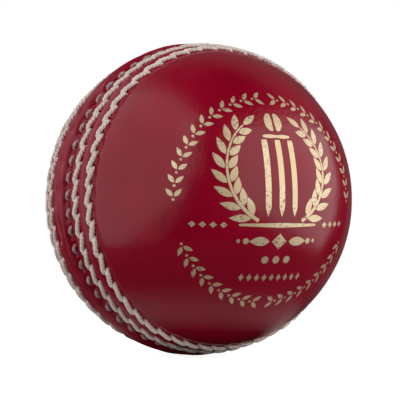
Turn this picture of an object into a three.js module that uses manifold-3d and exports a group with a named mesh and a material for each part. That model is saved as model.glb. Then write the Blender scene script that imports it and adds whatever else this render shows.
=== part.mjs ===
// A junior two-piece cricket ball, as the separate pieces it is made of: a cork nucleus, five layers of
// cork strips each bound down with a worsted winding, two leather cups, and six rows of thread.
// Millimetres and degrees. The origin is the ball's centre and +Z is up. The seam lies in the XZ plane,
// so the Y axis runs through the middles of the two cups; the stamped cup is on the -Y side.
// A "latitude" is an angle from the seam plane, as seen from the centre, and a "pole" is at latitude 90.
import * as THREE from "three";
import { mergeVertices } from "three/addons/utils/BufferGeometryUtils.js";
import Module from "manifold-3d";

const wasm = await Module();
wasm.setup();

// ---- Driving dimensions ----
const CIRCUMFERENCE = 212.5; // round the leather
const LEATHER_THICKNESS = 3.0;
const NUCLEUS_RADIUS = 12.0;
const QUILT_LAYERS = 5; // each is a layer of cork strips and the winding that binds it
const STRIPS_PER_LAYER = 4;
const CORK_SHARE = 0.55; // the part of a quilt layer's thickness that is cork
const NESTING_GAP = 0.05; // between one shell and the next
const STRIP_JOINT = 0.3; // between neighbouring cork strips
const CUP_JOINT = 0.1; // between the butted edges of the two cups
const TIE_HOLE_RADIUS = 0.9; // where a winding's end is tucked through

const STITCHES_PER_ROW = 57;
const THREAD_HEIGHT = 1.1; // a stitch of the four outer rows, over the bottom of its bed
const SUNK_HEIGHT = 0.75; // a closing stitch, over the bottom of its groove
const RIDGE_STANDS = 1.08; // the butted edges of the cups, pulled up by the closing stitches
const BED_GAP = 0.08; // between a thread and the leather it beds in
const STITCH_SWAY = 0.3; // degrees that the slanted stitches carry a row to either side
const STITCH_DIP = 0.2; // how much lower a row is where one stitch ends under the next

// Each row's latitude and its bed in the leather: the bed's half width at its lips and at its floor, and
// the heights of the floor and of the two lips over the plain leather. The whole seam is drawn up
// towards the joint, so each row lies a little higher than the one outside it.
const OUTER_ROW = { latitude: 17.1, top: 2.5, bottom: 1.7, floor: -0.35, poleLip: 0, seamLip: 0.25 };
const MIDDLE_ROW = { latitude: 10.3, top: 2.5, bottom: 1.7, floor: -0.2, poleLip: 0.3, seamLip: 0.5 };
const CLOSING_ROW = { latitude: 4.6, top: 1.7, bottom: 0.8, floor: -0.35, poleLip: 0.5, seamLip: 0.75 };
const RIDGE_SHOULDER = 2.2; // latitude where the ridge's flat crown starts to fall into the groove

// How finely the round shapes are divided.
const CUP_SEGMENTS = 48;
const INNER_SEGMENTS = 16;
const INNER_STEP = 22.5; // degrees of latitude; the cups' insides use it too, so that shells nest
const CUP_STEPS = [90, 80, 70, 60, 50, 40, 30]; // latitudes on the plain part of a cup

const LEATHER_RADIUS = CIRCUMFERENCE / (2 * Math.PI);
const CUP_INNER_RADIUS = LEATHER_RADIUS - LEATHER_THICKNESS;
const QUILT_RADIUS = CUP_INNER_RADIUS - NESTING_GAP;
const QUILT_PITCH = (QUILT_RADIUS - NUCLEUS_RADIUS) / QUILT_LAYERS;

// ---- Materials ----
const finish = (color, roughness) =>
  new THREE.MeshStandardMaterial({ color, roughness, metalness: 0 });
const RED_LEATHER = finish(0x8c1226, 0.25);
const CREAM_THREAD = finish(0xd8c8b8, 0.7);
const CLOSING_THREAD = finish(0x98747a, 0.7);
const WORSTED_YARN = finish(0xcdbd9c, 0.9);
const PRESSED_CORK = finish(0xb98a58, 0.85);

const ball = new THREE.Group();

function addPiece(name, geometry, material) {
  const mesh = new THREE.Mesh(geometry, material);
  mesh.name = name;
  ball.add(mesh);
  return mesh;
}

// The profile point at a latitude and a distance from the centre: x is the distance from the Y axis.
function polar(latitude, radius) {
  const angle = THREE.MathUtils.degToRad(latitude);
  const fromAxis = Math.abs(latitude) === 90 ? 0 : radius * Math.cos(angle);
  return new THREE.Vector2(fromAxis, radius * Math.sin(angle));
}

// The latitudes from one to another in even steps, both ends included.
function latitudes(from, to, step) {
  const count = Math.round(Math.abs(to - from) / step);
  return Array.from({ length: count + 1 }, (_, i) => from + ((to - from) * i) / count);
}

// ---- Nucleus and quilt ----
const fullArc = (radius) => latitudes(-90, 90, INNER_STEP).map((at) => polar(at, radius));

function sphereGeometry(radius) {
  return new THREE.LatheGeometry(fullArc(radius), INNER_SEGMENTS);
}

// A shell with one small hole at the +Y pole, its edge on the last facet of each surface.
function windingGeometry(innerRadius, outerRadius) {
  const arcToHole = (radius) => {
    const arc = fullArc(radius);
    const pole = arc.pop();
    const last = arc[arc.length - 1];
    return [...arc, pole.lerp(last, TIE_HOLE_RADIUS / last.x)];
  };
  const profile = [...arcToHole(outerRadius), ...arcToHole(innerRadius).reverse()];
  return new THREE.LatheGeometry(profile, INNER_SEGMENTS);
}

function toSolid(geometry) {
  const bare = geometry.clone();
  bare.deleteAttribute("normal");
  bare.deleteAttribute("uv");
  const merged = mergeVertices(bare, 1e-4);
  return new wasm.Manifold(
    new wasm.Mesh({
      numProp: 3,
      vertProperties: merged.attributes.position.array,
      triVerts: new Uint32Array(merged.index.array),
    }),
  );
}

function toGeometry(solid) {
  const mesh = solid.getMesh();
  const geometry = new THREE.BufferGeometry();
  geometry.setAttribute("position", new THREE.BufferAttribute(mesh.vertProperties, 3));
  geometry.setIndex(new THREE.BufferAttribute(mesh.triVerts, 1));
  return geometry;
}

// A wedge as long as the ball with its edge along the Y axis: what it cuts from a shell is one strip.
function wedgeSolid(start, spread) {
  const reach = 2 * LEATHER_RADIUS;
  const middle = start + spread / 2;
  const rim = (angle) => new THREE.Vector2(reach * Math.cos(angle), reach * Math.sin(angle));
  const outline = [new THREE.Vector2(), rim(start), rim(middle), rim(start + spread)];
  const prism = new THREE.ExtrudeGeometry(new THREE.Shape(outline), {
    depth: 2 * reach,
    bevelEnabled: false,
  });
  // Moving the wedge out from the axis sets both of its faces back by half a joint.
  const setBack = STRIP_JOINT / 2 / Math.sin(spread / 2);
  prism.translate(setBack * Math.cos(middle), setBack * Math.sin(middle), -reach);
  prism.rotateX(Math.PI / 2);
  return toSolid(prism);
}

function addCorkLayer(layer, innerRadius, outerRadius) {
  const shell = toSolid(sphereGeometry(outerRadius)).subtract(toSolid(sphereGeometry(innerRadius)));
  const spread = (2 * Math.PI) / STRIPS_PER_LAYER;
  const stagger = (spread / 2) * (layer % 2); // puts each layer's joints between those of the one below
  for (let strip = 0; strip < STRIPS_PER_LAYER; strip++) {
    const piece = shell.intersect(wedgeSolid(stagger + strip * spread, spread));
    addPiece(`cork_layer_${layer}_strip_${strip + 1}`, toGeometry(piece), PRESSED_CORK);
  }
}

addPiece("cork_nucleus", sphereGeometry(NUCLEUS_RADIUS), PRESSED_CORK);
for (let layer = 1; layer <= QUILT_LAYERS; layer++) {
  const start = NUCLEUS_RADIUS + (layer - 1) * QUILT_PITCH;
  const corkTop = start + CORK_SHARE * QUILT_PITCH;
  addCorkLayer(layer, start + NESTING_GAP, corkTop);
  const winding = windingGeometry(corkTop + NESTING_GAP, start + QUILT_PITCH);
  addPiece(`yarn_winding_${layer}`, winding, WORSTED_YARN);
}

// ---- Leather cups ----
// The leather surface across one row's bed, from the pole side to the seam side.
function bedPoints({ latitude, top, bottom, floor, poleLip, seamLip }) {
  return [
    polar(latitude + top, LEATHER_RADIUS + poleLip),
    polar(latitude + bottom, LEATHER_RADIUS + floor),
    polar(latitude - bottom, LEATHER_RADIUS + floor),
    polar(latitude - top, LEATHER_RADIUS + seamLip),
  ];
}

// The section of the cup on the +Y side, from its outer pole round its butted edge to its inner pole.
function cupProfile() {
  const crown = LEATHER_RADIUS + RIDGE_STANDS;
  const butt = (radius) => new THREE.Vector2(radius, CUP_JOINT / 2);
  const inner = latitudes(INNER_STEP, 90, INNER_STEP).map((at) => polar(at, CUP_INNER_RADIUS));
  return [
    ...CUP_STEPS.map((at) => polar(at, LEATHER_RADIUS)),
    ...bedPoints(OUTER_ROW),
    ...bedPoints(MIDDLE_ROW),
    ...bedPoints(CLOSING_ROW),
    polar(RIDGE_SHOULDER, crown),
    butt(crown),
    butt(CUP_INNER_RADIUS),
    ...inner,
  ];
}

// ---- Rows of thread ----
// A row's section: each corner has a latitude offset, a height over the bed's floor, and a share of the dip.
const RAISED_SECTION = [
  [-1.1, BED_GAP, 0],
  [-1.8, THREAD_HEIGHT * 0.4, 0],
  [0, THREAD_HEIGHT, 1],
  [1.8, THREAD_HEIGHT * 0.4, 0],
  [1.1, BED_GAP, 0],
];
const SUNK_SECTION = [
  [0, BED_GAP, 0],
  [-0.9, SUNK_HEIGHT * 0.5, 0],
  [0, SUNK_HEIGHT, 1],
  [0.9, SUNK_HEIGHT * 0.5, 0],
];

// The section as a closed profile that faces outwards, on the +Y side (1) or the -Y side (-1).
function sectionProfile(side, row, corners, sway = 0, dip = 0) {
  const points = corners.map(([offset, height, share]) =>
    polar(side * (row.latitude + offset + sway), LEATHER_RADIUS + row.floor + height - share * dip),
  );
  return side > 0 ? [...points, points[0]] : [points[0], ...points.reverse()];
}

// A raised row: a ring that sways and dips with its stitches, where one slanted stitch ends under the next.
function raisedRow(side, row) {
  const steps = 2 * STITCHES_PER_ROW;
  const crests = sectionProfile(side, row, RAISED_SECTION, -STITCH_SWAY);
  const ends = sectionProfile(side, row, RAISED_SECTION, STITCH_SWAY, STITCH_DIP);
  const geometry = new THREE.LatheGeometry(crests, steps);
  const position = geometry.attributes.position;
  for (let i = 0; i < position.count; i++) {
    const step = Math.floor(i / ends.length);
    if (step % 2 === 0) continue;
    const point = ends[i % ends.length];
    const turn = (step / steps) * 2 * Math.PI;
    position.setXYZ(i, point.x * Math.sin(turn), point.y, point.x * Math.cos(turn));
  }
  return geometry;
}

function sunkRow(side, row) {
  const section = sectionProfile(side, row, SUNK_SECTION);
  return new THREE.LatheGeometry(section, STITCHES_PER_ROW);
}

for (const [side, word] of [
  [-1, "stamped"],
  [1, "plain"],
]) {
  const profile = cupProfile().map(({ x, y }) => new THREE.Vector2(x, side * y));
  if (side > 0) profile.reverse();
  addPiece(`leather_cup_${word}`, new THREE.LatheGeometry(profile, CUP_SEGMENTS), RED_LEATHER);
  addPiece(`outer_stitch_row_${word}`, raisedRow(side, OUTER_ROW), CREAM_THREAD);
  addPiece(`middle_stitch_row_${word}`, raisedRow(side, MIDDLE_ROW), CREAM_THREAD);
  addPiece(`closing_stitch_row_${word}`, sunkRow(side, CLOSING_ROW), CLOSING_THREAD);
}

export default ball;
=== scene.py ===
import math
from dataclasses import dataclass

import bpy
import numpy as np
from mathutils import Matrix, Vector


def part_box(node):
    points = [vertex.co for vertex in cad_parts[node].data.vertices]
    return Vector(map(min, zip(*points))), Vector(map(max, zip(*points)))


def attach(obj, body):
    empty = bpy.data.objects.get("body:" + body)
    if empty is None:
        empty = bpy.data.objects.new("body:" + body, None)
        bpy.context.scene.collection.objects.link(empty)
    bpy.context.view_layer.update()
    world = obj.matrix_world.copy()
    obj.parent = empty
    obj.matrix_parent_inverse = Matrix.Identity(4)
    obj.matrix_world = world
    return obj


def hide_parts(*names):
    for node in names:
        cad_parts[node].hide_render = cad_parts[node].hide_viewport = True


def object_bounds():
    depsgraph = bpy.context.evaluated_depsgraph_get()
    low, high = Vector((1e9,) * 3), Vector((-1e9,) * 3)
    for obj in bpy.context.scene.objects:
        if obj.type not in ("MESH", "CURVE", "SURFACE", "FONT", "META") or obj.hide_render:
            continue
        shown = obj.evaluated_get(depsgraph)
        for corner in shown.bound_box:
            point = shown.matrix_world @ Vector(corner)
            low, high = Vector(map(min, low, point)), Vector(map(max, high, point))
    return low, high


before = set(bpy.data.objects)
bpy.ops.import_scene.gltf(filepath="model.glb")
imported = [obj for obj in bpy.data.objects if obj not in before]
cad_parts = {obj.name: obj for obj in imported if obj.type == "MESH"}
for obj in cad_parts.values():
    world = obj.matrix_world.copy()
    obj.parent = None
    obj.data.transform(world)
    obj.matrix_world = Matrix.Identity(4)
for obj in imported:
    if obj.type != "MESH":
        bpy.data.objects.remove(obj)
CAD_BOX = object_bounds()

# A junior cricket ball. Lengths are in metres in the frame and in the meshes. The seam's small sizes are
# written in millimetres, and angles on the ball in degrees, because one degree is about 0.6 mm there.
# "along" runs round the seam, from -X up over +Z; "lat" is the angle off the seam plane, positive
# towards the stamped pole at -Y; "height" is over the plain leather surface.
MM = 0.001
BALL_RADIUS = -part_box("leather_cup_stamped")[0].y
INNER_RADIUS = -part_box("yarn_winding_5")[0].y + 0.05 * MM
DEGREE_MM = math.radians(1) * BALL_RADIUS / MM

STITCHES_PER_ROW = 57
PITCH = 360 / STITCHES_PER_ROW

# The leather's slow unevenness: (wavelength in ball radii, depth in millimetres), and waves of each.
SWELLS = ((0.9, 0.05), (0.45, 0.022), (0.2, 0.009))
WAVES_PER_SWELL = 7

# ---- Places on the ball ----


def on_ball(along, lat, height):
    """Points (n, 3) in metres at angles in degrees and heights in millimetres."""
    a, b = np.radians(along), np.radians(lat)
    radius = BALL_RADIUS + np.asarray(height) * MM
    level = radius * np.cos(b)
    return np.stack([-level * np.cos(a), -radius * np.sin(b), level * np.sin(a)], -1)


def swell(points):
    """Slow hand-made unevenness of the leather, in millimetres, at unit directions (n, 3)."""
    rng = np.random.default_rng(11)
    total = np.zeros(points.shape[:-1])
    for wavelength, depth in SWELLS:
        for _ in range(WAVES_PER_SWELL):
            k = rng.normal(size=3)
            k *= 2 * math.pi / wavelength / np.linalg.norm(k)
            total += depth / WAVES_PER_SWELL**0.5 * np.sin(points @ k + rng.uniform(0, 2 * math.pi))
    return total


# ---- The stitches' plan ----


@dataclass
class Row:
    """One row of stitches: every array has one value for each stitch, in degrees."""

    along: np.ndarray
    lat: np.ndarray
    half: np.ndarray  # half of the stitch's length along the seam
    rise: np.ndarray  # how far it climbs towards the stamped side over its length

    def ends(self):
        """The (along, lat) of the low end and the high end of each stitch."""
        low = np.stack([self.along - self.half, self.lat - self.rise / 2], -1)
        high = np.stack([self.along + self.half, self.lat + self.rise / 2], -1)
        return low, high


def plan_row(lat, half, rise, phase, seed):
    """A row of stitches that starts phase pitches along, each a little out of place, as by hand."""
    rng = np.random.default_rng(seed)

    def vary(spread):
        return rng.normal(0, spread, STITCHES_PER_ROW)

    along = (np.arange(STITCHES_PER_ROW) + phase) * PITCH + vary(0.22)
    return Row(along, lat + vary(0.1), half + vary(0.14), rise + vary(0.16))


RAISED_HALF, RAISED_RISE = 4.15, 1.1
SUNK_HALF, SUNK_RISE = 1.8, 0.4
ROWS = {
    "outer_stamped": plan_row(17.1, RAISED_HALF, RAISED_RISE, 0.0, 21),
    "middle_stamped": plan_row(10.3, RAISED_HALF, RAISED_RISE, 0.35, 22),
    "closing_stamped": plan_row(4.3, SUNK_HALF, SUNK_RISE, 0.1, 23),
    "closing_plain": plan_row(-4.3, SUNK_HALF, SUNK_RISE, 0.45, 24),
    "middle_plain": plan_row(-10.3, RAISED_HALF, RAISED_RISE, 0.75, 25),
    "outer_plain": plan_row(-17.1, RAISED_HALF, RAISED_RISE, 0.5, 26),
}

# ---- The leather surface ----

# (angle off the seam plane in degrees, height in millimetres) of the leather between the stitches.
SEAM_SECTION = [
    (0.0, 0.76), (0.25, 0.87), (1.3, 0.96), (2.1, 0.9), (2.6, 0.62), (3.1, 0.05),
    (3.6, -0.2), (4.6, -0.26), (5.3, -0.2), (6.0, -0.04), (6.8, 0.14), (7.8, 0.22), (8.6, 0.16),
    (10.3, 0.16), (11.9, 0.18), (12.7, 0.32), (13.7, 0.4), (14.6, 0.32), (15.5, 0.12),
    (17.1, 0.1), (18.2, 0.0), (18.9, -0.2), (19.5, -0.14), (20.5, -0.03), (21.5, 0.0),
    (24.0, 0.0),
]
SEAM_EDGE = 24.0

# Millimetres that a stitch presses its bed and its two holes into the leather, and how wide they are.
BED_DEPTH, BED_REACH = 0.22, 0.62
HOLE_DEPTH, HOLE_REACH = 0.4, 0.45
# The lobe that stands up beside each hole: height, distance off the hole, half length, half width, and
# how far its length is slanted for each millimetre of its width.
PUCKER, PUCKER_OFF, PUCKER_LONG, PUCKER_WIDE, PUCKER_SLANT = 0.14, 0.35, 1.15, 0.5, 0.9

# Millimetres by which the cups lie out of line at the top and bottom. The step is whole beyond the first
# of these latitudes, and fades out over the last degrees before the second.
LEAN_STAMPED, LEAN_PLAIN = 0.14, 0.22
LEAN_WHOLE, LEAN_GONE, LEAN_FADE = 6, 40, 15

# Degrees by which the stamped rows wander, the place along the seam where they wander the most, and how
# far round it they do. The drift starts at a latitude inside the rows and is whole some degrees further.
DRIFT, DRIFT_ALONG, DRIFT_SPREAD = 4.5, 122, 26
DRIFT_FROM, DRIFT_WHOLE_OVER = 5, 8

# The creases beside the joint: how many sets of them, a set's waves round the ball, its degrees from crest
# to crest, its height in millimetres, the latitude where it has died away and over how many degrees.
STREAKS, STREAKS_ROUND, STREAK_WIDTHS, STREAK_HEIGHT = 9, (8, 40), (1.1, 3.2), 0.024
STREAKS_GONE, STREAKS_FADE = 9, 2

# Degrees over which the seam's section is averaged, so that its corners are round.
SMOOTHING = (-0.3, -0.15, 0.0, 0.15, 0.3)


def lean(along, lat):
    """The two cups were joined a little out of line, the stamped one higher: millimetres to add."""
    lat = np.asarray(lat)
    side = np.clip(lat / LEAN_WHOLE, -1, 1) * np.clip((LEAN_GONE - abs(lat)) / LEAN_FADE, 0, 1)
    return np.where(lat > 0, LEAN_STAMPED, LEAN_PLAIN) * side * np.sin(np.radians(along))


def drift(along, lat):
    """Beyond the top of the ball the stamped rows wander off towards the stamp: degrees to add."""
    there = np.exp(-(((np.asarray(along) % 360 - DRIFT_ALONG) / DRIFT_SPREAD) ** 2))
    return DRIFT * there * np.clip((np.asarray(lat) - DRIFT_FROM) / DRIFT_WHOLE_OVER, 0, 1)


def streaks(along, lat):
    """Long shallow creases beside the joint, where the leather was pinched up, in millimetres."""
    rng = np.random.default_rng(13)
    total = np.zeros_like(lat)
    for _ in range(STREAKS):
        waves_round = rng.integers(*STREAKS_ROUND)
        width = rng.uniform(*STREAK_WIDTHS)
        start = rng.uniform(0, 2 * math.pi)
        total += np.sin(2 * math.pi * lat / width + np.radians(along * waves_round) + start)
    return STREAK_HEIGHT * total * np.clip((STREAKS_GONE - abs(lat)) / STREAKS_FADE, 0, 1)


def section_height(lat):
    """The seam's section, smoothed over about half a degree."""
    at, height = zip(*SEAM_SECTION)
    return sum(np.interp(abs(lat + t), at, height, right=0.0) for t in SMOOTHING) / len(SMOOTHING)


def row_pull(row, along, lat):
    """What one row's stitches do to the leather: (bed and holes, puckers between them), in mm."""
    low, high = row.ends()
    half_pitch = PITCH / 2 * DEGREE_MM
    nearest = np.round(along / PITCH - row.along[0] / PITCH).astype(int)
    pull, pucker = np.zeros_like(along), np.zeros_like(along)
    for step in (-1, 0, 1):
        turn, k = np.divmod(nearest + step, STITCHES_PER_ROW)
        x = (along - turn * 360) * DEGREE_MM
        y = lat * DEGREE_MM
        ax, ay = low[k, 0] * DEGREE_MM, low[k, 1] * DEGREE_MM
        bx, by = high[k, 0] * DEGREE_MM, high[k, 1] * DEGREE_MM
        t = np.clip(((x - ax) * (bx - ax) + (y - ay) * (by - ay))
                    / ((bx - ax) ** 2 + (by - ay) ** 2), 0, 1)
        off = np.hypot(x - ax - t * (bx - ax), y - ay - t * (by - ay))
        bed = -BED_DEPTH * np.exp(-((off / BED_REACH) ** 2))
        for hx, hy in ((ax, ay), (bx, by)):
            bed -= HOLE_DEPTH * np.exp(-(((x - hx) ** 2 + (y - hy) ** 2) / HOLE_REACH**2))
        pull = np.minimum(pull, bed)
        # The leather stands up in a small lobe between one hole and the next, on both sides of the row.
        for hx, hy, side in ((ax, ay, -1), (bx, by, 1)):
            dx, dy = x - hx - half_pitch, y - hy - side * PUCKER_OFF
            slanted = dx - PUCKER_SLANT * dy
            pucker += PUCKER * np.exp(-((slanted / PUCKER_LONG) ** 2) - (dy / PUCKER_WIDE) ** 2)
    return pull, pucker


def leather_height(along, lat):
    """Height of the leather in mm at any place, and how deep it is pulled by thread there.

    The seam is laid out straight, so a place is first moved back by the rows' drift.
    """
    along, real_lat = np.broadcast_arrays(np.asarray(along, float), np.asarray(lat, float))
    lat = real_lat - drift(along, real_lat)
    height = section_height(lat) + streaks(along, lat)
    deepest = np.zeros_like(height)
    near = abs(lat) < SEAM_EDGE
    for row in ROWS.values():
        pull, pucker = row_pull(row, along[near], lat[near])
        height[near] += pull + pucker
        deepest[near] = np.minimum(deepest[near], pull)
    height += lean(along, lat) + swell(on_ball(along, real_lat, 0) / BALL_RADIUS)
    return height, deepest


# ---- Meshes ----


def piece(name, points, faces, material, replaces=(), smooth=True, attributes=None):
    """A mesh object from points in metres and lists of corner numbers, riding on the ball."""
    mesh = bpy.data.meshes.new(name)
    mesh.from_pydata(np.asarray(points).tolist(), [], faces)
    mesh.update()
    if smooth:
        mesh.shade_smooth()
    for key, values in (attributes or {}).items():
        data = mesh.attributes.new(key, "FLOAT_VECTOR", "POINT")
        data.data.foreach_set("vector", np.asarray(values, np.float32).ravel())
    mesh.materials.append(material)
    obj = bpy.data.objects.new(name, mesh)
    bpy.context.scene.collection.objects.link(obj)
    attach(obj, "root")
    if replaces:
        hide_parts(*replaces)
    return obj


def ring_faces(rows, columns, start=0, flip=False):
    """Quads of a grid of points that closes on itself across its columns."""
    faces = []
    for r in range(rows - 1):
        a, b = start + r * columns, start + (r + 1) * columns
        for c in range(columns):
            d = (c + 1) % columns
            quad = (a + c, a + d, b + d, b + c)
            faces.append(quad[::-1] if flip else quad)
    return faces


def fan_faces(ring_start, columns, tip, flip=False):
    """Triangles from a closed ring of points to one tip."""
    faces = [(ring_start + c, ring_start + (c + 1) % columns, tip) for c in range(columns)]
    return [f[::-1] for f in faces] if flip else faces


COLUMNS = STITCHES_PER_ROW * 10
JOINT_GAP = 0.02  # degrees between the two cups' butted edges
# Degrees of latitude from one ring of a cup's points to the next, and the growth of a step to the next.
FINE_STEP, COARSE_STEP, STEP_GROWTH = 0.225, 1.7, 1.16
LAST_RING = 89.2
# The rings of points on a cup's inner face, which is plain and hidden.
FIRST_INNER, LAST_INNER, INNER_RINGS = 7.5, 87, 12


def cup_latitudes():
    """From the butted edge to just short of the pole, fine over the seam and coarser beyond it."""
    at, step, found = JOINT_GAP / 2, FINE_STEP, []
    while at < LAST_RING:
        found.append(at)
        if at > SEAM_EDGE + 1:
            step = min(COARSE_STEP, step * STEP_GROWTH)
        at += step
    return np.array(found)


def leather_cup(name, side, material):
    """One cup with its real thickness: side is 1 for the stamped cup and -1 for the plain one."""
    outer = cup_latitudes()
    along = np.arange(COLUMNS) / COLUMNS * 360
    grid_along, grid_lat = np.meshgrid(along, outer * side)
    height, pulled = leather_height(grid_along, grid_lat)
    top = on_ball(grid_along, grid_lat, height).reshape(-1, 3)
    depth_mm = (INNER_RADIUS - BALL_RADIUS) / MM
    inner = np.concatenate([[JOINT_GAP / 2], np.linspace(FIRST_INNER, LAST_INNER, INNER_RINGS)])
    in_along, in_lat = np.meshgrid(along, inner * side)
    under = on_ball(in_along, in_lat, depth_mm).reshape(-1, 3)
    pole_height = leather_height(np.zeros(1), np.full(1, 90.0 * side))[0][0]
    poles = [on_ball(0, 90 * side, pole_height), on_ball(0, 90 * side, depth_mm)]
    points = np.concatenate([top, under, poles])

    flip = side > 0
    n_top = len(top)
    last_top, last_under = n_top - COLUMNS, n_top + len(under) - COLUMNS
    faces = ring_faces(len(outer), COLUMNS, 0, not flip)
    faces += ring_faces(len(inner), COLUMNS, n_top, flip)
    faces += fan_faces(last_top, COLUMNS, len(points) - 2, not flip)
    faces += fan_faces(last_under, COLUMNS, len(points) - 1, flip)
    for c in range(COLUMNS):
        d = (c + 1) % COLUMNS
        quad = (c, d, n_top + d, n_top + c)
        faces.append(quad if flip else quad[::-1])

    relief = np.zeros((len(points), 3))
    relief[:n_top, 0] = height.ravel()
    relief[:n_top, 1] = pulled.ravel()
    word = "stamped" if side > 0 else "plain"
    return piece(name, points, faces, material, [f"leather_cup_{word}"],
                 attributes={"relief": relief})


# ---- Thread ----

PLIES = 3
PLY_POINTS = 8
PLY_OFFSET, PLY_RADIUS = 0.42, 0.6  # of a ply's middle and of a ply, for a thread of about radius 1
LAY = 2.7  # millimetres of thread for one turn of its plies
FLAT = 0.9  # waxed thread pulled tight lies a little flat
# A stitch runs across its row as a sine of this many radians each way, so that its ends turn back to
# tuck in beside the next stitch, and it ends this share of the way out to its holes.
TUCK_TURN, TUCK_SHARE = 2.6, 0.6
# Rows beyond the first latitude drift. A row drifts as a whole, by what the second latitude does.
DRIFTING_FROM, DRIFTING_AS = 8, 13.0


@dataclass
class Thread:
    """How the stitches of a row are made. Sizes and heights are in millimetres."""

    crest: float  # height of the thread's middle line half way along a stitch
    dive: float  # and at its ends
    seed: int
    thickness: float
    taper: float  # the share of its thickness that a stitch loses at its ends
    blunt: float  # the higher, the more suddenly a stitch turns down into its hole
    steps: int  # cross-sections in a stitch


RAISED = {"thickness": 1.12, "taper": 0.05, "blunt": 6.0, "steps": 38}
SUNK = {"thickness": 1.05, "taper": 0.45, "blunt": 2.8, "steps": 18}
THREADS = {
    "outer_stamped": Thread(crest=0.26, dive=-0.94, seed=42, **RAISED),
    "middle_stamped": Thread(crest=0.3, dive=-0.9, seed=43, **RAISED),
    "closing_stamped": Thread(crest=0.0, dive=-0.5, seed=41, **SUNK),
    "closing_plain": Thread(crest=-0.1, dive=-0.5, seed=41, **SUNK),
    "middle_plain": Thread(crest=0.3, dive=-0.9, seed=53, **RAISED),
    "outer_plain": Thread(crest=0.26, dive=-0.94, seed=52, **RAISED),
}


def ply_outline(thickness):
    """Polar outline of three plies side by side: angles and distances from the thread's middle."""
    within = (np.arange(PLY_POINTS) / PLY_POINTS - 0.5) * 2 * math.pi / PLIES
    reach = PLY_OFFSET * np.cos(within) + np.sqrt(
        PLY_RADIUS**2 - (PLY_OFFSET * np.sin(within)) ** 2)
    angles = np.concatenate([within + i * 2 * math.pi / PLIES for i in range(PLIES)])
    return angles, np.tile(reach / reach.max() * thickness / 2, PLIES)


def unit(vectors):
    return vectors / np.linalg.norm(vectors, axis=1)[:, None]


def thread_row(name, row, thread, material, replaces):
    """Every visible stitch of a row as a twisted three-ply thread that dives into the leather."""
    rng = np.random.default_rng(thread.seed)
    angles, reach = ply_outline(thread.thickness)
    around, steps = len(angles), thread.steps
    even = np.linspace(-1, 1, steps)
    t = even * (1.25 - 0.25 * even**2)  # closer together towards the ends, where the thread dives
    points, faces, strand, look = [], [], [], []
    for k in range(STITCHES_PER_ROW):
        crest = thread.crest + rng.normal(0, 0.03)
        height = crest - (crest - thread.dive) * abs(t) ** thread.blunt
        bow = rng.normal(0, 0.12)
        along = row.along[k] + row.half[k] * t
        tucked = np.sin(TUCK_TURN * t) / math.sin(TUCK_TURN) * TUCK_SHARE
        lat = row.lat[k] + row.rise[k] / 2 * tucked + bow * (1 - t * t)
        if row.lat[k] > DRIFTING_FROM:
            lat = lat + drift(along, DRIFTING_AS)
        line = on_ball(along, lat, height + lean(along, lat))
        length = np.concatenate([[0], np.cumsum(np.linalg.norm(np.diff(line, axis=0), axis=1))]) / MM
        tangent = unit(np.gradient(line, axis=0))
        out = unit(line)
        out = unit(out - (out * tangent).sum(1)[:, None] * tangent)
        across = np.cross(tangent, out)
        # An S twist: going along the thread, the plies on the outside drift to the left.
        turn = -2 * math.pi * length / LAY + rng.uniform(0, 2 * math.pi)
        theta = turn[:, None] + angles[None, :]
        swelling = (1 + rng.normal(0, 0.025)) * (1 - thread.taper * t * t)
        size = reach[None, :] * swelling[:, None] * MM
        ring = (line[:, None, :]
                + (np.cos(theta) * size * FLAT)[..., None] * out[:, None, :]
                + (np.sin(theta) * size)[..., None] * across[:, None, :])
        first = sum(len(p) for p in points)
        points.append(ring.reshape(-1, 3))
        faces += ring_faces(steps, around, first)
        points.append(line[[0, -1]])
        tip = first + steps * around
        faces += fan_faces(first, around, tip, True)
        faces += fan_faces(first + (steps - 1) * around, around, tip + 1)
        # Places in the untwisted thread, so that fibres follow the plies, and a number for the stitch.
        untwisted = np.stack([np.repeat(length, around),
                              np.tile(np.cos(angles) * reach, steps),
                              np.tile(np.sin(angles) * reach, steps)], -1)
        strand.append(np.concatenate([untwisted, [[0, 0, 0], [length[-1], 0, 0]]]))
        over = (np.linalg.norm(ring, axis=-1) - BALL_RADIUS) / MM
        # How far into the groove between plies each point lies: the material paints it darker there, as
        # painted shade.
        ply_groove_painted_shade = np.tile((reach.max() - reach) / reach.max(), (steps, 1))
        shade = np.stack([over, ply_groove_painted_shade, np.full_like(over, rng.uniform())], -1).reshape(-1, 3)
        look.append(np.concatenate([shade, np.zeros((2, 3))]))
    return piece(name, np.concatenate(points), faces, material, replaces,
                 attributes={"strand": np.concatenate(strand), "look": np.concatenate(look)})


# ---- Gold foil ----

# The stamp's middle, in degrees from the pole, and the heights of the film's two faces over the leather.
# The lower face is inside the leather, so that no gap shows under the film's edge.
STAMP_LEFT, STAMP_DOWN = 2.4, 1.5
FILM_OVER, FILM_UNDER = 0.018, -0.06
BAR_STEP = 0.7  # about the distance between points along a bar, in millimetres
NARROWEST = 0.05  # millimetres: a leaf's tip is this wide, and not a point


def on_stamp(x, y):
    """Unit directions for places in the stamp's own plan, in millimetres right and up of its middle."""
    left, down = math.radians(STAMP_LEFT), math.radians(STAMP_DOWN)
    middle = np.array([-math.sin(left), -math.cos(left) * math.cos(down), -math.sin(down)])
    middle /= np.linalg.norm(middle)
    up = np.array([0, 0, 1.0]) - middle * middle[2]
    up /= np.linalg.norm(up)
    right = np.cross(up, middle)
    far = np.hypot(x, y)
    angle = far / (BALL_RADIUS / MM)
    share = np.where(far > 1e-9, np.sin(angle) / np.maximum(far, 1e-9), MM / BALL_RADIUS)
    return (np.cos(angle)[..., None] * middle + (x * share)[..., None] * right
            + (y * share)[..., None] * up)


CREASED = on_stamp(np.array(2.0), np.array(22.0))  # the middle of a creased patch of leather
CREASED_REACH, CREASED_WHOLE = 14 * MM, 5 * MM


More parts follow.
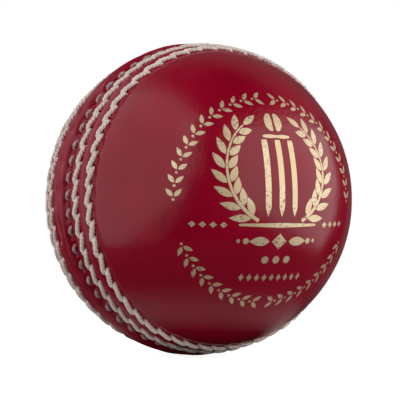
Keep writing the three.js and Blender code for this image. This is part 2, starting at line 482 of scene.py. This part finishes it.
class Foil:
    """A piece of foil ornament, gathered as ribbons in the stamp's plan."""

    def __init__(self):
        self.points, self.faces, self.count = [], [], 0

    def ribbon(self, path, widths):
        """A closed thin film along a path (n, 2), as wide as widths at each point."""
        path = np.asarray(path, float)
        widths = np.maximum(np.broadcast_to(np.asarray(widths, float), len(path)), NARROWEST)
        run = np.gradient(path, axis=0)
        run /= np.linalg.norm(run, axis=1)[:, None]
        left = np.stack([-run[:, 1], run[:, 0]], -1)
        shares = np.array([-0.5, 0.0, 0.5])
        grid = path[:, None, :] + left[:, None, :] * (widths[:, None] * shares)[..., None]
        direction = on_stamp(grid[..., 0], grid[..., 1])
        base = BALL_RADIUS + swell(direction) * MM
        top = direction * (base + FILM_OVER * MM)[..., None]
        low = direction * (base + FILM_UNDER * MM)[..., None]
        rows, first = len(path), self.count
        self.points += [top.reshape(-1, 3), low.reshape(-1, 3)]
        self.count += 6 * rows

        def over(r, c):
            return first + 3 * r + c

        def under(r, c):
            return over(r, c) + 3 * rows

        for r in range(rows - 1):
            for c in (0, 1):
                self.faces.append((over(r, c), over(r + 1, c), over(r + 1, c + 1), over(r, c + 1)))
                self.faces.append((under(r, c), under(r, c + 1), under(r + 1, c + 1), under(r + 1, c)))
            self.faces.append((over(r, 0), under(r, 0), under(r + 1, 0), over(r + 1, 0)))
            self.faces.append((over(r, 2), over(r + 1, 2), under(r + 1, 2), under(r, 2)))
        last = rows - 1
        for c in (0, 1):
            self.faces.append((over(0, c), over(0, c + 1), under(0, c + 1), under(0, c)))
            self.faces.append((over(last, c), under(last, c), under(last, c + 1), over(last, c + 1)))

    def leaf(self, x, y, angle, length, width, steps=9):
        """A pointed leaf from its stalk at (x, y), growing at an angle in degrees."""
        t = np.linspace(0, 1, steps)
        a = math.radians(angle)
        path = np.stack([x + t * length * math.cos(a), y + t * length * math.sin(a)], -1)
        self.ribbon(path, width * np.sin(math.pi * t**0.85) ** 0.9)

    def dot(self, x, y, radius, steps=11):
        """A round dot."""
        t = np.cos(np.linspace(math.pi, 0, steps))
        path = np.stack([x + radius * t, np.full(steps, float(y))], -1)
        self.ribbon(path, 2 * radius * np.sqrt(1 - t * t))

    def lozenge(self, x, y, width, height, steps=9):
        """A diamond that stands on its lower corner."""
        t = np.linspace(-1, 1, steps)
        path = np.stack([x + width / 2 * t, np.full(steps, float(y))], -1)
        self.ribbon(path, height * (1 - abs(t)))

    def bar(self, x0, y0, x1, y1, width, taper=0.0):
        """A straight bar with rounded ends, narrowing by taper from its middle to its ends."""
        length = math.hypot(x1 - x0, y1 - y0)
        steps = max(7, int(length / BAR_STEP))
        t = np.cos(np.linspace(math.pi, 0, steps))
        path = np.stack([x0 + (x1 - x0) * (t + 1) / 2, y0 + (y1 - y0) * (t + 1) / 2], -1)
        from_end = (1 - abs(t)) * length / 2
        rounding = np.clip(from_end / (width / 2), 0, 1)
        self.ribbon(path, width * np.sqrt(1 - (1 - rounding) ** 2) * (1 - taper * abs(t)))

    def build(self, name, material):
        """The mesh object of all the ribbons gathered."""
        return piece(name, np.concatenate(self.points), self.faces, material,
                     smooth=False)


# The border: its radius, the degrees from one pair of leaves to the next, and for each leaf its distance
# off the border's line, the angle at which it opens, its length and its width.
BORDER_RADIUS, SPRIG_PITCH = 22.3, 7.4
SPRIG_OFFSET, SPRIG_ANGLE, SPRIG_LENGTH, SPRIG_WIDTH = 0.16, 42, 2.15, 0.95
BERRY_RADIUS, BERRY_BEHIND = 0.3, 0.03  # the second is in radians round the border


def garland(arcs):
    """Arcs of the border, made of paired leaves that all point along it, with a dot behind each pair."""
    foil = Foil()
    for start, stop in arcs:
        count = round(abs(stop - start) / SPRIG_PITCH)
        heading = 1 if stop > start else -1
        for i in range(count):
            at = math.radians(start + (stop - start) * (i + 0.5) / count)
            along = math.degrees(at) + heading * 90
            for side in (-1, 1):
                r = BORDER_RADIUS + side * SPRIG_OFFSET
                angle = along + heading * -side * SPRIG_ANGLE
                foil.leaf(r * math.cos(at), r * math.sin(at), angle, SPRIG_LENGTH, SPRIG_WIDTH)
            tail = at - heading * BERRY_BEHIND
            x, y = BORDER_RADIUS * math.cos(tail), BORDER_RADIUS * math.sin(tail)
            foil.dot(x, y, BERRY_RADIUS, 7)
    return foil


def wreath(side):
    """One branch of the wreath, on the right (1) or the left (-1) of the wicket."""
    foil = Foil()
    centre_y, radius = 6.4, 11.6
    low_end, high_end, last_leaf = -64, 52, 53  # degrees round the wreath's centre
    first_pair, pairs, pair_pitch = -56, 8, 14

    def leaf(at_degrees, offset, opening, length, width):
        at, r = math.radians(at_degrees), radius + offset
        angle = at_degrees + 90 + opening
        foil.leaf(side * r * math.cos(at), centre_y + r * math.sin(at),
                  angle if side > 0 else 180 - angle, length, width)

    angles = np.radians(np.linspace(low_end, high_end, 30))
    stem = np.stack([side * radius * np.cos(angles), centre_y + radius * np.sin(angles)], -1)
    foil.ribbon(stem, np.linspace(0.75, 0.3, len(stem)))
    for i in range(pairs):
        at = first_pair + i * pair_pitch
        leaf(at, 0.45, -34, 4.5 - 0.12 * i, 1.55)
        leaf(at, -0.45, 36, 3.7 - 0.1 * i, 1.55)
    leaf(last_leaf, 0, 0, 3.6, 1.4)
    return foil


def wicket():
    """Three stumps with two bails, a ball above them, and the ground line."""
    foil = Foil()
    foot, top, spacing = -3.1, 12.4, 3.1
    y = np.linspace(foot, top, 26)
    stump_width = np.interp(y, [foot, foot + 1.6, top - 0.5, top], [0.1, 1.25, 1.35, 1.1])
    for i in (-1, 0, 1):
        foil.ribbon(np.stack([np.full(len(y), i * spacing), y], -1), stump_width)

    bail_y, bail_half, bail_width = top + 0.75, 1.75, 0.85
    for i in (-1, 1):
        middle = i * spacing / 2
        foil.bar(middle - bail_half, bail_y, middle + bail_half, bail_y, bail_width, 0.35)

    # The ball is two halves on either side of its seam.
    ball_y, ball_radius, half_seam = top + 4.0, 2.1, 0.28
    t = np.linspace(-0.93, 0.93, 13)
    edge = np.sqrt(1 - t * t) * ball_radius
    for side in (-1, 1):
        path = np.stack([side * (edge + half_seam) / 2, ball_y + t * ball_radius], -1)
        foil.ribbon(path, edge - half_seam)

    ground_y, ground_half = -4.9, 9.2
    foil.bar(-ground_half, ground_y, ground_half, ground_y, 0.95, 0.5)
    return foil


def rules():
    """The small marks beside and below the emblem, which carry no letters."""
    foil = Foil()
    beside_y, title_y, dots_y, lowest_y = -5.0, -8.2, -12.1, -16.1
    for side in (-1, 1):
        for i in range(4):
            foil.lozenge(side * (12.2 + 2.1 * i), beside_y, 1.5, 1.3, 7)
    foil.lozenge(0, title_y, 3.4, 3.3, 9)
    for side, outwards in ((-1, 180), (1, 0)):
        foil.leaf(side * 2.3, title_y, outwards, 4.4, 1.9)
        foil.dot(side * 7.4, title_y, 0.62)
        foil.dot(side * 9.0, title_y, 0.4)
    for x in (-2.6, 0, 2.6):
        foil.dot(x, dots_y, 0.8)
    for i in range(-4, 5):
        foil.lozenge(1.75 * i, lowest_y, 1.15, 1.7, 7)
    return foil


# ---- Materials ----


class Look:
    """Builds a node material by short calls. Sockets take a number, a colour or another node's output."""

    def __init__(self, name):
        self.material = bpy.data.materials.new(name)
        self.material.use_nodes = True
        self.tree = self.material.node_tree
        self.shader = self.tree.nodes["Principled BSDF"]

    def node(self, kind, inputs=None, **settings):
        made = self.tree.nodes.new(kind)
        for key, value in settings.items():
            setattr(made, key, value)
        for key, value in (inputs or {}).items():
            self.put(made.inputs[key], value)
        return made

    def put(self, socket, value):
        if isinstance(value, bpy.types.NodeSocket):
            self.tree.links.new(value, socket)
        elif isinstance(value, bpy.types.Node):
            self.tree.links.new(value.outputs[0], socket)
        else:
            socket.default_value = value

    def set(self, **inputs):
        for key, value in inputs.items():
            self.put(self.shader.inputs[key.replace("_", " ")], value)

    def place(self):
        """The place on the object, in metres."""
        return self.node("ShaderNodeTexCoord").outputs["Object"]

    def attribute(self, name):
        """The three numbers of a mesh attribute."""
        vector = self.node("ShaderNodeAttribute", attribute_name=name).outputs["Vector"]
        return self.node("ShaderNodeSeparateXYZ", {0: vector}).outputs

    def noise(self, vector, scale, detail=3.0, roughness=0.5):
        return self.node("ShaderNodeTexNoise", {"Vector": vector, "Scale": scale, "Detail": detail,
                                                "Roughness": roughness}).outputs["Fac"]

    def remap(self, value, low, high, to_low=0.0, to_high=1.0):
        return self.node("ShaderNodeMapRange", {"Value": value, "From Min": low, "From Max": high,
                                                "To Min": to_low, "To Max": to_high}).outputs[0]

    def math(self, operation, a, b=0.0):
        return self.node("ShaderNodeMath", {0: a, 1: b}, operation=operation).outputs[0]

    def mix(self, factor, a, b):
        """A colour between a and b. Sockets 6 and 7, and output 2, are the node's colour ones."""
        made = self.node("ShaderNodeMix", {0: factor, 6: a, 7: b}, data_type="RGBA")
        return made.outputs[2]

    def bump(self, height, distance, strength=1.0, normal=None):
        made = self.node("ShaderNodeBump", {"Height": height, "Distance": distance,
                                            "Strength": strength})
        if normal is not None:
            self.put(made.inputs["Normal"], normal)
        return made.outputs[0]


def rgb(r, g, b):
    return (r, g, b, 1.0)


def grey(tone):
    return rgb(tone, tone, tone)


def leather_grain(look):
    """The fine pores and soft orange peel of polished leather, and the creases above the stamp."""
    place = look.place()
    creased = look.node("ShaderNodeVectorMath", {0: place, 1: tuple(CREASED * BALL_RADIUS)},
                        operation="DISTANCE").outputs["Value"]
    creased = look.remap(creased, CREASED_REACH, CREASED_WHOLE)
    upright = look.node("ShaderNodeMapping", {"Vector": place, "Scale": (1.0, 1.0, 0.45)})
    folds = look.node("ShaderNodeTexNoise", {"Vector": upright, "Scale": 520.0, "Detail": 3.0,
                                             "Distortion": 0.8}).outputs["Fac"]
    # A fold runs wherever the noise passes through its middle value.
    folds = look.math("ABSOLUTE", look.math("SUBTRACT", folds, 0.5))
    folds = look.math("MULTIPLY", look.remap(folds, 0.0, 0.12), creased)
    pores = look.node("ShaderNodeTexVoronoi", {"Vector": place, "Scale": 2600.0},
                      feature="SMOOTH_F1").outputs["Distance"]
    peel = look.noise(place, 1300.0, 2.0)
    slow = look.noise(place, 330.0, 2.0)
    normal = look.bump(folds, 0.04 * MM, 0.5)
    normal = look.bump(slow, 0.06 * MM, 0.6, normal)
    normal = look.bump(peel, 0.035 * MM, 0.85, normal)
    return look.bump(pores, 0.012 * MM, 0.4, normal)


def red_leather():
    look = Look("red_leather")
    place = look.place()
    relief = look.attribute("relief")
    mottle = look.noise(place, 90.0, 4.0)
    colour = look.mix(look.remap(mottle, 0.35, 0.65), rgb(0.27, 0.0005, 0.015),
                      rgb(0.32, 0.0009, 0.0195))
    # The seam's hollows are painted darker, as painted shade, and its crowns paler and greyer, as a
    # painted sheen.
    hollow_painted_shade = look.remap(relief[0], -0.15, -0.75)
    colour = look.mix(hollow_painted_shade, colour, rgb(0.09, 0.0004, 0.007))
    # Painted sheen: the high crowns of the seam are painted paler and greyer, in streaks.
    crown_painted_sheen = look.remap(relief[0], 0.12, 0.36, 0.0, 0.4)
    streaks = look.noise(place, 420.0, 3.0)
    crown_painted_sheen = look.math("MULTIPLY", crown_painted_sheen, look.remap(streaks, 0.3, 0.7))
    colour = look.mix(crown_painted_sheen, colour, rgb(0.36, 0.035, 0.058))
    rough = look.remap(mottle, 0.3, 0.7, 0.17, 0.22)
    rough = look.math("ADD", rough, look.remap(relief[0], 0.05, 0.3, 0.0, 0.1))
    look.set(Base_Color=colour, Roughness=rough, IOR=1.4, Normal=leather_grain(look))
    return look.material


def thread_material(name, pale, warm, stain, stain_amount):
    """Waxed linen: fibres along the plies, painted shade between them, stained by the leather's dye low
    down.
    """
    look = Look(name)
    strand = look.node("ShaderNodeAttribute", attribute_name="strand").outputs["Vector"]
    over, ply_groove_painted_shade, number = look.attribute("look")
    stretched = look.node("ShaderNodeMapping", {"Vector": strand, "Scale": (0.9, 9.0, 9.0)})
    fibres = look.noise(stretched, 1.6, 4.0, 0.65)
    blotch = look.noise(look.place(), 500.0, 3.0)
    colour = look.mix(look.remap(blotch, 0.35, 0.65), pale, warm)
    colour = look.mix(look.remap(number, 0.0, 1.0, 0.0, 0.25), colour, warm)
    colour = look.mix(look.remap(fibres, 0.35, 0.2, 0.0, 0.35), colour, rgb(0.3, 0.22, 0.19))
    dye = look.remap(over, 0.4, -0.3, 0.0, stain_amount)
    patch = look.remap(look.noise(look.place(), 450.0, 2.0), 0.4, 0.62, 0.35, 1.0)
    colour = look.mix(look.math("MULTIPLY", dye, patch), colour, stain)
    # Painted shade: the grooves between the plies are painted darker.
    colour = look.mix(look.remap(ply_groove_painted_shade, 0.25, 0.6, 0.0, 0.6), colour, rgb(0.22, 0.15, 0.13))
    look.set(Base_Color=colour, Roughness=look.remap(fibres, 0.3, 0.7, 0.55, 0.75), IOR=1.45,
             Sheen_Weight=0.15, Normal=look.bump(fibres, 0.05 * MM, 0.7))
    return look.material


def gold_foil():
    """Hot-stamped foil, which follows the leather's grain and is rubbed through in specks."""
    look = Look("gold_foil")
    place = look.place()
    specks = look.noise(place, 2200.0, 3.0, 0.6)
    patches = look.noise(place, 160.0, 2.0)
    worn = look.math("MULTIPLY", look.remap(specks, 0.54, 0.65), look.remap(patches, 0.4, 0.6))
    tone = look.mix(look.remap(patches, 0.35, 0.65), rgb(0.70, 0.54, 0.32), rgb(0.81, 0.66, 0.43))
    colour = look.mix(worn, tone, rgb(0.30, 0.03, 0.03))
    look.set(Base_Color=colour, Metallic=look.remap(worn, 0.0, 1.0, 0.6, 0.0), Roughness=0.4,
             Normal=leather_grain(look))
    return look.material


def worsted_yarn():
    """Coarse wool wound round and round, as crossing bands of strands."""
    look = Look("worsted_yarn")
    place = look.place()
    bands = []
    for turn in ((0.4, 0.2, 0.0), (1.3, 0.9, 0.6), (2.2, 0.3, 1.2)):
        turned = look.node("ShaderNodeMapping", {"Vector": place, "Rotation": turn})
        wave = look.node("ShaderNodeTexWave", {"Vector": turned, "Scale": 320.0, "Distortion": 1.2,
                                               "Detail": 2.0, "Detail Scale": 1.5})
        bands.append(wave.outputs["Fac"])
    choose = look.remap(look.noise(place, 60.0, 1.0), 0.47, 0.53)
    over = look.math("ADD", look.math("MULTIPLY", bands[0], choose),
                     look.math("MULTIPLY", bands[1], look.math("SUBTRACT", 1.0, choose)))
    height = look.math("MAXIMUM", over, look.math("MULTIPLY", bands[2], 0.6))
    fuzz = look.noise(place, 2500.0, 4.0)
    # Painted shade: the low parts between the crossing bands are painted darker.
    colour = look.mix(look.remap(height, 0.1, 0.8), rgb(0.30, 0.22, 0.12), rgb(0.66, 0.56, 0.38))
    colour = look.mix(look.remap(fuzz, 0.4, 0.7, 0.0, 0.4), colour, rgb(0.74, 0.66, 0.50))
    normal = look.bump(height, 0.5 * MM, 0.8)
    look.set(Base_Color=colour, Roughness=0.9, Sheen_Weight=0.3,
             Normal=look.bump(fuzz, 0.08 * MM, 0.5, normal))
    return look.material


def pressed_cork():
    """Cork with its darker grains and small pits."""
    look = Look("pressed_cork")
    place = look.place()
    grains = look.node("ShaderNodeTexVoronoi", {"Vector": place, "Scale": 420.0})
    tint = look.node("ShaderNodeSeparateXYZ", {0: grains.outputs["Color"]}).outputs[0]
    pits = look.noise(place, 900.0, 4.0, 0.7)
    colour = look.mix(tint, rgb(0.40, 0.22, 0.10), rgb(0.60, 0.39, 0.20))
    colour = look.mix(look.remap(pits, 0.62, 0.7), colour, rgb(0.12, 0.06, 0.03))
    look.set(Base_Color=colour, Roughness=0.85, Normal=look.bump(pits, 0.25 * MM, 0.6))
    return look.material


# ---- Studio ----

CAMERA_AZIMUTH, CAMERA_ELEVATION = -31.3, -1.1
CAMERA_RADII = 7.5  # from the ball's middle, in ball radii
LENS, SENSOR = 101.7, 36.0
AIM_BELOW = 0.2 * MM
FLOOR_RADIUS = 0.075
# Distances from the middle of the floor at which the tone that the ball sees in it turns: it is painted
# darkest under the ball, as a painted shadow of the ball, brightest in a narrow ring, as a painted pool of
# light, and grey beyond that.
SHADE_END, RING_START, RING_END, GREY_START = 0.0155, 0.0225, 0.026, 0.037
# The floor's emission for the camera is dimmed under the ball, as a painted faint shadow.
CAMERA_TONES = (0.93, 1.0)  # what the camera sees under the ball and further out
CAMERA_TONES_AT = (0.01, 0.06)

# Each soft box: azimuth, elevation, distance, (width, height), brightness, yaw and roll.
SOFT_BOXES = {
    "left_box": (-42, 26, 0.8, (1.75, 1.55), 0.75, -30, 13),
    "left_spill": (-45, 20, 0.82, (1.95, 2.4), 0.35, -30, 13),
    "left_lamp": (-8, 37, 0.79, (0.14, 0.6), 0.6, 0, 9),
    "right_box": (74, 15, 0.8, (1.65, 1.0), 1.25, 0, -13),
    "right_spill": (74, 14, 0.82, (1.85, 1.35), 0.45, 0, -13),
    "back_fill": (180, 50, 0.8, (1.6, 0.5), 0.12, 0, 0),
    "low_back_fill": (178, 6, 0.9, (1.3, 0.9), 0.08, 0, 0),
}
WORLD_TONE = 0.012


def around(azimuth, elevation, distance):
    """A place as seen from the ball's centre. Azimuth 0 is straight out from the stamped cup's middle."""
    a, e = math.radians(azimuth), math.radians(elevation)
    return Vector((math.sin(a) * math.cos(e), -math.cos(a) * math.cos(e), math.sin(e))) * distance


def point_at(obj, place, target):
    """Puts a camera or a light at a place, facing the target."""
    obj.location = place
    obj.rotation_euler = (target - place).to_track_quat("-Z", "Y").to_euler()


def make_camera():
    data = bpy.data.cameras.new("camera")
    data.lens, data.sensor_width = LENS, SENSOR
    data.clip_start, data.clip_end = 0.01, 50
    camera = bpy.data.objects.new("camera", data)
    bpy.context.scene.collection.objects.link(camera)
    place = around(CAMERA_AZIMUTH, CAMERA_ELEVATION, CAMERA_RADII * BALL_RADIUS)
    point_at(camera, place, Vector((0, 0, -AIM_BELOW)))
    bpy.context.scene.camera = camera


def soft_box(name, azimuth, elevation, distance, size, brightness, yaw, roll):
    """A large soft light at an azimuth counted from the camera, positive to its right.

    brightness is its radiance. A positive yaw brings its right end nearer, and a positive roll lifts it.
    """
    data = bpy.data.lights.new(name, "AREA")
    width, height = size
    data.shape, data.size, data.size_y = "RECTANGLE", width, height
    data.energy = brightness * math.pi * width * height
    light = bpy.data.objects.new(name, data)
    bpy.context.scene.collection.objects.link(light)
    point_at(light, around(CAMERA_AZIMUTH + azimuth, elevation, distance), Vector((0, 0, 0)))
    light.rotation_euler.rotate_axis("Y", math.radians(yaw))
    light.rotation_euler.rotate_axis("Z", math.radians(roll))
    light.visible_camera = False


def make_world():
    """A white backdrop for the camera, which lights the ball as a nearly black one."""
    world = bpy.data.worlds.new("studio")
    world.use_nodes = True
    bpy.context.scene.world = world
    tree = world.node_tree
    background = tree.nodes["Background"]
    background.inputs["Color"].default_value = grey(WORLD_TONE)
    backdrop = tree.nodes.new("ShaderNodeBackground")
    backdrop.inputs["Color"].default_value = grey(1)
    seen = tree.nodes.new("ShaderNodeLightPath")
    mix = tree.nodes.new("ShaderNodeMixShader")
    tree.links.new(seen.outputs["Is Camera Ray"], mix.inputs[0])
    tree.links.new(background.outputs[0], mix.inputs[1])
    tree.links.new(backdrop.outputs[0], mix.inputs[2])
    tree.links.new(mix.outputs[0], tree.nodes["World Output"].inputs["Surface"])


def make_floor(level):
    """A round pale sheet, which the camera sees as white paper and the ball reflects as a grey one, with a
    painted shadow under the ball in both.

    It is small, so that the soft boxes also light the ball from a little below, as over a table's edge.
    """
    mesh = bpy.data.meshes.new("floor")
    turns = np.linspace(0, 2 * math.pi, 96, endpoint=False)
    rim = np.stack([FLOOR_RADIUS * np.cos(turns), FLOOR_RADIUS * np.sin(turns),
                    np.full(len(turns), level)], -1)
    mesh.from_pydata(rim.tolist(), [], [tuple(range(len(turns)))])
    look = Look("floor_paper")
    tree = look.tree
    level_place = look.node("ShaderNodeVectorMath", {0: look.place(), 1: (1.0, 1.0, 0.0)},
                            operation="MULTIPLY")
    far = look.node("ShaderNodeVectorMath", {0: level_place}, operation="LENGTH").outputs["Value"]
    # Painted shadow under the ball and a painted ring of light, in the tone that the ball sees in the
    # floor.
    near = look.mix(look.remap(far, SHADE_END, RING_START), grey(0.02), grey(0.8))
    painted_floor_shadow_and_ring = look.mix(look.remap(far, RING_END, GREY_START), near, grey(0.14))
    look.set(Base_Color=painted_floor_shadow_and_ring, Roughness=0.9, Specular_IOR_Level=0.0)
    paper = look.node("ShaderNodeBsdfDiffuse", {"Color": grey(0.5)})
    # Emission that the camera sees, dimmed under the ball as a painted faint shadow.
    glow_with_painted_shadow = look.node("ShaderNodeEmission", {
        "Color": grey(1), "Strength": look.remap(far, *CAMERA_TONES_AT, *CAMERA_TONES)})
    lit = look.node("ShaderNodeAddShader", {0: paper, 1: glow_with_painted_shadow})
    seen = look.node("ShaderNodeLightPath").outputs["Is Camera Ray"]
    mix = look.node("ShaderNodeMixShader", {0: seen, 1: look.shader, 2: lit})
    tree.links.new(mix.outputs[0], tree.nodes["Material Output"].inputs["Surface"])
    mesh.materials.append(look.material)
    floor = bpy.data.objects.new("floor", mesh)
    bpy.context.scene.collection.objects.link(floor)


# ---- Making it all ----


def finish_inner_nodes():
    """The CAD shapes of the core stay, and get cork and yarn."""
    cork, yarn = pressed_cork(), worsted_yarn()
    for name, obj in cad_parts.items():
        if not name.startswith(("cork", "yarn")):
            continue
        for slot in obj.material_slots:
            slot.link = "OBJECT"
            slot.material = cork if name.startswith("cork") else yarn


make_camera()
make_world()
for name, settings in SOFT_BOXES.items():
    soft_box(name, *settings)

leather = red_leather()
leather_cup("stamped_cup_skin", 1, leather)
leather_cup("plain_cup_skin", -1, leather)

cream = thread_material("cream_thread", rgb(0.87, 0.77, 0.69), rgb(0.78, 0.66, 0.60),
                        rgb(0.50, 0.17, 0.19), 0.45)
closing = thread_material("closing_thread", rgb(0.57, 0.40, 0.41), rgb(0.45, 0.27, 0.29),
                          rgb(0.2, 0.04, 0.05), 0.4)
for key, row in ROWS.items():
    band, side = key.split("_")
    material, slot = (closing, "closing_thread") if band == "closing" else (cream, "cream_thread")
    thread_row(f"{band}_stitches_{side}", row, THREADS[key], material,
               [f"{band}_stitch_row_{side}"])

gold = gold_foil()
garland([(182, 93), (-2, 87)]).build("foil_border_upper", gold)
garland([(203, 267), (337, 273)]).build("foil_border_lower", gold)
wreath(-1).build("foil_wreath_left", gold)
wreath(1).build("foil_wreath_right", gold)
wicket().build("foil_wicket", gold)
rules().build("foil_rules", gold)

finish_inner_nodes()
lowest = min(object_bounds()[0].z, CAD_BOX[0].z)
make_floor(lowest)

bpy.context.scene.view_settings.view_transform = "Standard"
